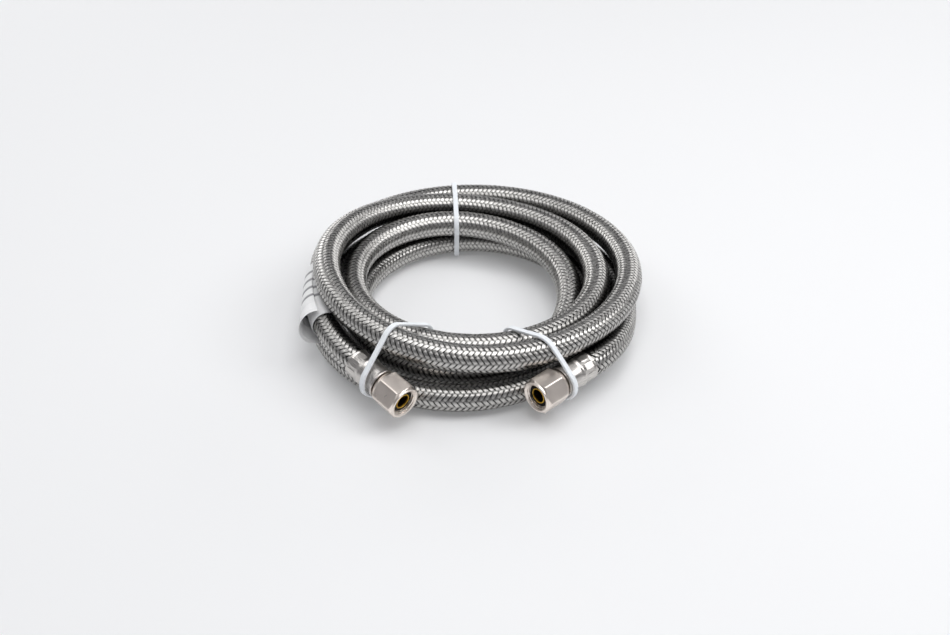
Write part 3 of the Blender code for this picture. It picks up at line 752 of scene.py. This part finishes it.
def ferrule_shape(r, z, a):
    """Pressed pads round the rear of the ferrule, with shallow grooves between them."""
    low = FERRULE_REAR_Z + PADS_FROM_REAR
    high = FERRULE_REAR_Z + CRIMP_LENGTH - PADS_SHORT_OF_ZONE
    zone = smooth_step(low - 0.0003, low + 0.0004, z) * (1 - smooth_step(high - 0.0004, high + 0.0003, z))
    share = 2 * math.pi / CRIMP_PADS
    local = np.abs((a + share / 2) % share - share / 2) / (share / 2)
    middle = (low + high) / 2
    corner = np.abs(z - middle) / ((high - low) / 2)
    pad = 1 - smooth_step(0.62, 0.86, local + 0.25 * np.clip(corner - 0.3, 0, 1))
    flat = FERRULE_R * PAD_FLAT_SHARE / np.cos(local * share / 2)
    outer = r > FERRULE_R - 0.0002
    pressed = np.where(outer, r + zone * (pad * (flat - r) - (1 - pad) * RIDGE_DIP), r)
    return pressed, z


def ferrule_profile():
    inner = FERRULE_R - FERRULE_WALL
    hole = STEM_NECK_R + FIT_GAP
    bead_z = FERRULE_REAR_Z + CRIMP_LENGTH + BEAD_PAST_CRIMP
    bead_r = FERRULE_R + BEAD_RISE
    raw = [
        (hole, FERRULE_TIP_Z), (FERRULE_RING_R, FERRULE_TIP_Z), (FERRULE_RING_R, FERRULE_TIP_Z - 0.0009),
        (FERRULE_R, FERRULE_TIP_Z - 0.0012), (FERRULE_R, bead_z + 0.0010), (bead_r, bead_z + 0.0004),
        (bead_r, bead_z - 0.0004), (FERRULE_R, bead_z - 0.0010), (FERRULE_R, FERRULE_REAR_Z),
        (inner, FERRULE_REAR_Z), (inner, FERRULE_FRONT_Z), (hole, FERRULE_FRONT_Z),
    ]
    return denser(rounded(raw, 0.00030, 3), 0.00022)


def hex_radius(angles, flats):
    """Distance from the axis to a hexagon's side, with its corners rounded a little."""
    sixth = math.pi / 3
    local = (angles + sixth / 2) % sixth - sixth / 2
    straight = flats / 2 / np.cos(local)
    return -np.logaddexp(-straight * 9000, -(flats / math.sqrt(3) - 0.00012) * 9000) / 9000


def nut_angles():
    """Angles round a nut, closer together near its corners."""
    sixth = math.pi / 3
    last_corner = np.linspace(0.9, 1, 5)[:-1]
    fine = np.concatenate([np.linspace(-1, -0.9, 5), np.linspace(-0.8, 0.8, 11), last_corner])
    return np.concatenate([sixth * k + fine * sixth / 2 for k in range(6)])


NUT_BORE_R = 0.0033
NUT_BACK = 0.0022
NUT_CHAMFER = 0.0011
NUT_RIM_STEP = 0.0001
THREAD_ROWS = 84
MOUTH_SLOPE = 1.6


def nut_grid():
    """Rows of points over the hexagon, the rim and the threaded socket."""
    rim_r = NUT_FLATS / 2 - NUT_RIM_STEP
    wide = NUT_FLATS / math.sqrt(3) + 0.0003
    back = NUT_REAR_Z + NUT_BACK
    front = NUT_MOUTH_Z - NUT_CHAMFER
    outer = [
        (NUT_BORE_R, NUT_REAR_Z), (0.0057, NUT_REAR_Z), (0.0061, NUT_REAR_Z + 0.0003),
        (0.00668, back - 0.0010), (0.0069, back - 0.0003), (wide, back + 0.0006), (wide, front - 0.0007),
        (rim_r, front + 0.0002), (rim_r, NUT_MOUTH_Z - 0.0002), (rim_r - 0.0002, NUT_MOUTH_Z),
        (MOUTH_R, NUT_MOUTH_Z),
    ]
    # denser() closes the profile, so its last rows run back inside the nut towards its rear
    outer = denser(rounded(outer, 0.00016, 2, closed=False), 0.00025)[:-1]
    angles = nut_angles()
    rows = []
    for radius, z in outer:
        rows.append((np.minimum(radius, hex_radius(angles, NUT_FLATS)), np.full(len(angles), z)))
    depth = NUT_MOUTH_Z - SOCKET_Z
    for k in range(THREAD_ROWS):
        z = NUT_MOUTH_Z - depth * k / (THREAD_ROWS - 1)
        phase = (z / THREAD_PITCH - angles / (2 * math.pi)) % 1.0
        ridge = 1 - smooth_step(0.10, 0.42, np.abs(phase - 0.5))
        ease = smooth_step(0.0002, 0.0008, NUT_MOUTH_Z - z) * smooth_step(0, 0.0005, z - SOCKET_Z)
        radius = THREAD_MAJOR_R - (THREAD_MAJOR_R - THREAD_MINOR_R) * ridge * ease
        radius = np.maximum(radius, MOUTH_R - MOUTH_SLOPE * (NUT_MOUTH_Z - z))
        rows.append((radius, np.full(len(angles), z)))
    rows.append((np.full(len(angles), NUT_BORE_R), np.full(len(angles), SOCKET_Z)))
    r = np.array([row[0] for row in rows])
    z = np.array([row[1] for row in rows])
    return np.stack([r * np.cos(angles), r * np.sin(angles), z], axis=-1)


def nut_piece(name, matrix, material):
    obj = grid_piece(name, to_world(matrix, nut_grid()), wrap_rows=True, sharp=33.0)
    obj.data.materials.append(material)
    return obj


COLLAR_R = 0.0046
COLLAR_FRONT_Z = 0.0011
COLLAR_REAR_Z = 0.0003
STEM_TAIL_R = 0.0024
STEM_BORE_R = 0.0017
STEM_END_Z = -0.0124
NOSE_BORE_TAPER = 0.0008
WASHER_BORE_R = NOSE_R + 0.00002
WASHER_FRONT_R = 0.0048
WASHER_R = 0.00495
FERRULE_STEPS = 240
STEM_STEPS = 64
STEM_PROFILE = denser(rounded([
    (NOSE_BORE_R, NOSE_TIP_Z), (NOSE_R, NOSE_TIP_Z), (NOSE_R, HEAD_FRONT_Z), (STEM_HEAD_R, HEAD_FRONT_Z),
    (STEM_HEAD_R, HEAD_Z), (STEM_NECK_R, HEAD_Z), (STEM_NECK_R, COLLAR_FRONT_Z), (COLLAR_R, COLLAR_FRONT_Z),
    (COLLAR_R, COLLAR_REAR_Z), (STEM_TAIL_R, COLLAR_REAR_Z), (STEM_TAIL_R, STEM_END_Z),
    (STEM_BORE_R, STEM_END_Z), (STEM_BORE_R, HEAD_Z), (NOSE_BORE_R, HEAD_Z + NOSE_BORE_TAPER),
], 0.00010, 2), 0.0010)
WASHER_PROFILE = denser(rounded([
    (WASHER_BORE_R, WASHER_FRONT_Z), (WASHER_FRONT_R, WASHER_FRONT_Z), (WASHER_R, WASHER_Z),
    (WASHER_BORE_R, WASHER_Z),
], 0.00030, 4), 0.0006)

nickel = nickel_material()
ferrule_steel = ferrule_material()
brass = brass_material()
rubber = rubber_material()
fittings = {}
for suffix, matrix in (("a", FRAME_A), ("b", FRAME_B)):
    fittings["ferrule_" + suffix] = turned_piece(
        "ferrule_shell_" + suffix, matrix, ferrule_profile(), FERRULE_STEPS, ferrule_steel, ferrule_shape)
    fittings["hose_stem_" + suffix] = turned_piece(
        "brass_stem_" + suffix, matrix, STEM_PROFILE, STEM_STEPS, brass)
    fittings["cone_washer_" + suffix] = turned_piece(
        "rubber_cone_" + suffix, matrix, WASHER_PROFILE, STEM_STEPS, rubber)
    fittings["swivel_nut_" + suffix] = nut_piece("nut_shell_" + suffix, matrix, nickel)


# Ties

END_POINTS = 5
OVAL_STEPS = 144
OUTLINE_STEP = 0.0015
OUTLINE_APART = 0.0005
FOOT_STEPS = 24
BAND_SIDE_POWER = 0.35
BAND_FACE_POWER = 0.45


def with_ends(radius):
    depth = -FERRULE_REAR_Z
    taper = 0.0012
    line = [ROUTE[0] + WAY_A * d for d in (FERRULE_TIP_Z + depth, depth, depth * 0.5, taper)] + [ROUTE[0]]
    line += [ROUTE[0] - WAY_A * taper] + ROUTE[1:-1] + [ROUTE[-1] - WAY_B * taper, ROUTE[-1]]
    line += [ROUTE[-1] + WAY_B * d for d in (taper, depth * 0.5, depth, FERRULE_TIP_Z + depth)]
    ends = [FERRULE_RING_R] * END_POINTS
    radii = ends + [radius] * (len(line) - 2 * END_POINTS) + ends
    return line, radii


def crossings(line, radii, foot):
    found = []
    travelled = 0.0
    for near, far in zip(foot[:-1], foot[1:]):
        reach = float(np.linalg.norm(far - near))
        along = Vector((*(far - near), 0)).normalized()
        across = Vector((-along.y, along.x, 0))
        corner = Vector((*near, 0))
        for start, end, radius in zip(line[:-1], line[1:], radii):
            low = (start - corner).dot(across)
            high = (end - corner).dot(across)
            if low * high > 0:
                continue
            at = start.lerp(end, low / (low - high))
            distance = (at - corner).dot(along)
            if 0 <= distance < reach:
                slant = abs((end - start).normalized().dot(across))
                found.append((travelled + distance, at.z, radius / slant, radius))
        travelled += reach
    return found


def hull_outline(ovals, margin, apart):
    cloud = []
    for x, y, half_width, half_height in ovals:
        for k in range(OVAL_STEPS):
            turn = 2 * math.pi * k / OVAL_STEPS
            cloud.append((x + (half_width + margin) * math.cos(turn),
                          y + (half_height + margin) * math.sin(turn)))
    cloud.sort()

    def half(points):
        chain = []
        for p in points:
            while len(chain) > 1:
                ax, ay = chain[-1][0] - chain[-2][0], chain[-1][1] - chain[-2][1]
                bx, by = p[0] - chain[-2][0], p[1] - chain[-2][1]
                if ax * by - ay * bx > 0:
                    break
                chain.pop()
            chain.append(p)
        return chain[:-1]

    outline = half(cloud) + half(cloud[::-1])
    thinned = [outline[0]]
    for p in outline[1:]:
        if math.dist(p, thinned[-1]) > apart:
            thinned.append(p)
    out = []
    for start, end in zip(thinned, thinned[1:] + thinned[:1]):
        pieces = max(1, math.ceil(math.dist(start, end) / OUTLINE_STEP))
        for k in range(pieces):
            t = k / pieces
            out.append((start[0] + (end[0] - start[0]) * t, start[1] + (end[1] - start[1]) * t))
    return out


def over_foot(foot, distance):
    for near, far in zip(foot[:-1], foot[1:]):
        reach = float(np.linalg.norm(far - near))
        if distance < reach:
            break
        distance -= reach
    else:
        distance += reach
    along = (far - near) / reach
    return Vector((*(near + along * distance), 0)), Vector((*along, 0))


def foot_line(node):
    """The smoothed line on the floor that a tie stands over, as points in order."""
    corners = [beside_coil(*place) + SHIFT for place in TIE_FEET[node]]
    if node in TIE_OVER_FERRULE:
        suffix, from_rear = TIE_OVER_FERRULE[node]
        rear, way = FITTINGS[suffix]
        over = rear + way * from_rear
        onward = (over - corners[-1]).normalized()
        corners += [over, over + onward * TIE_PAST_FERRULE]
    return through_points(np.array([tuple(corner[:2]) for corner in corners]), FOOT_STEPS)


def tie_piece(name, node, material):
    foot = foot_line(node)
    line, radii = with_ends(HOSE_R)
    outline = hull_outline(crossings(line, radii, foot), FIT_GAP + TIE_THICK / 2, OUTLINE_APART)
    places = []
    for distance, height in outline:
        at, along = over_foot(foot, distance)
        places.append((at + Vector((0, 0, height)), Vector((-along.y, along.x, 0))))
    turns = np.linspace(0, 2 * math.pi, ROUND_STEPS, endpoint=False)
    section = []
    for t in turns:
        wide = math.copysign(abs(math.cos(t)) ** BAND_SIDE_POWER, math.cos(t))
        high = math.copysign(abs(math.sin(t)) ** BAND_FACE_POWER, math.sin(t))
        section.append((BAND_WIDTH / 2 * wide, BAND_THICK / 2 * high))
    rings = []
    for i, (at, across) in enumerate(places):
        run = (places[(i + 1) % len(places)][0] - places[i - 1][0]).normalized()
        out = run.cross(across).normalized()
        side = out.cross(run).normalized()
        rings.append([tuple(at + side * w + out * h) for w, h in section])
    obj = grid_piece(name, np.array(rings), wrap_rows=True)
    obj.data.materials.append(material)
    return obj


band = band_material()
ties = {node: tie_piece("band_" + node.split("_")[1], node, band) for node in TIE_FEET}


# Label

LABEL_POINTS_ALONG = 90
LABEL_POINTS_ROUND = 170
LABEL_CREASE = 0.00045
LABEL_CURL = 0.0010


def label_sheet():
    lengths = np.concatenate([[0], np.cumsum(np.linalg.norm(np.diff(line_raw, axis=0), axis=1))])
    first, last = LABEL_START, LABEL_START + LABEL_LENGTH
    at = np.linspace(first, last, LABEL_POINTS_ALONG)
    line = np.stack([np.interp(at, lengths, line_raw[:, k]) for k in range(3)], axis=1)
    tangents = np.gradient(line, axis=0)
    tangents /= np.linalg.norm(tangents, axis=1, keepdims=True)
    outward = line.copy()
    outward[:, 0] -= COIL_SHIFT[0]
    outward[:, 1] -= COIL_SHIFT[1]
    outward[:, 2] = 0
    outward -= tangents * np.sum(outward * tangents, axis=1, keepdims=True)
    outward /= np.linalg.norm(outward, axis=1, keepdims=True)
    ups = np.cross(outward, tangents)
    turn = np.linspace(LABEL_FIRST_TURN, LABEL_LAST_TURN, LABEL_POINTS_ROUND)
    v = (at - first) / (last - first)
    double_from = LABEL_FIRST_TURN + 360
    lift = np.clip((turn - LABEL_LIFTS_AT) / (double_from - LABEL_LIFTS_AT), 0, 1)
    outward_share = np.where(turn > LABEL_LIFTS_AT, np.clip(-np.cos(np.radians(turn)), 0, 1), 0)
    angle = np.radians(turn)
    rows = []
    for i in range(len(at)):
        opened = (1 - v[i]) ** LABEL_FLARE
        crease = -LABEL_CREASE * max(0.0, math.sin(2 * math.pi * LABEL_ROWS * v[i])) ** 6
        radius = HOSE_R + FIT_GAP + LABEL_PAPER / 2 + 2 * LABEL_PAPER * lift
        radius = radius + (LABEL_BULGE * opened + crease * min(1.0, 4 * opened + 0.3)) * outward_share
        curl = LABEL_CURL * opened * outward_share * np.sin(angle)
        centre = line[i][None] - tangents[i][None] * curl[:, None]
        rows.append(centre + outward[i][None] * (-radius * np.cos(angle))[:, None]
                    + ups[i][None] * (radius * np.sin(angle))[:, None])
    grid = np.array(rows)
    uv = (np.linspace(0, 1, len(turn)), v)
    obj = grid_piece("label_wrap", grid, wrap_rows=False, wrap_cols=False, uv=uv)
    obj.data.materials.append(paper_material())
    sheet = obj.modifiers.new("paper", "SOLIDIFY")
    sheet.thickness = LABEL_PAPER
    sheet.offset = 0.0
    return obj


label = label_sheet()

# What rides on what

for node, piece in fittings.items():
    body = "nut_" + node[-1] if node.startswith("swivel_nut") else hose_body
    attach(piece, body)
    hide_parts(node)
for node, piece in ties.items():
    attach(piece, hose_body)
    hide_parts(node)
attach(label, hose_body)
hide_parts("paper_label")
for piece in (braid_right, braid_left, shade_shell):
    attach(piece, hose_body)
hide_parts("braid_sleeve")
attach(tube, hose_body)
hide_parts("inner_tube")

# Floor, lights and view

FLOOR_GLOW = 0.15
floor_mesh = bpy.data.meshes.new("floor")
floor_mesh.from_pydata([(-3, -2, 0), (3, -2, 0), (3, 4, 0), (-3, 4, 0)], [], [(0, 1, 2, 3)])
floor = bpy.data.objects.new("floor", floor_mesh)
bpy.context.scene.collection.objects.link(floor)
floor_look, nodes, links, shader = new_material("pale_floor", (0.88, 0.885, 0.895), 0.7, 0.0)
shader.inputs["Specular IOR Level"].default_value = 0.1
rays = nodes.new("ShaderNodeLightPath")
seen = math_node(nodes, links, "MAXIMUM", rays.outputs["Is Camera Ray"], rays.outputs["Is Glossy Ray"])
seen = math_node(nodes, links, "MAXIMUM", seen, rays.outputs["Is Transmission Ray"])
evened = nodes.new("ShaderNodeMixShader")
links.new(math_node(nodes, links, "MULTIPLY", seen, FLOOR_GLOW), evened.inputs[0])
plain_white = nodes.new("ShaderNodeEmission")
plain_white.inputs["Color"].default_value = (0.94, 0.945, 0.95, 1.0)
links.new(shader.outputs["BSDF"], evened.inputs[1])
links.new(plain_white.outputs["Emission"], evened.inputs[2])
links.new(evened.outputs["Shader"], nodes["Material Output"].inputs["Surface"])
floor_mesh.materials.append(floor_look)


def softbox(name, place, aim, width, height, power):
    data = bpy.data.lights.new(name, "AREA")
    data.shape = "RECTANGLE"
    data.size = width
    data.size_y = height
    data.energy = power
    lamp = bpy.data.objects.new(name, data)
    lamp.location = place
    lamp.rotation_euler = (Vector(aim) - Vector(place)).to_track_quat("-Z", "Y").to_euler()
    bpy.context.scene.collection.objects.link(lamp)


softbox("top_box", (0.08, -0.14, 0.93), (0.08, -0.14, 0.02), 0.60, 0.92, 5.0)
softbox("left_high_box", (-0.72, 0.25, 0.78), (0, 0, 0.02), 0.50, 0.60, 1.5)
softbox("right_high_box", (0.72, -0.10, 0.76), (0, 0, 0.02), 0.42, 0.60, 3.3)
softbox("left_box", (-0.60, 0.92, 0.26), (0, 0, 0.02), 0.66, 0.50, 2.8)
softbox("right_box", (0.60, 0.92, 0.26), (0, 0, 0.02), 0.66, 0.50, 2.3)

world = bpy.data.worlds.new("studio")
bpy.context.scene.world = world
world.use_nodes = True
sky = world.node_tree.nodes["Background"]
sky.inputs["Color"].default_value = (0.23, 0.23, 0.24, 1.0)
sky.inputs["Strength"].default_value = 1.0
bpy.context.scene.view_settings.view_transform = "Standard"
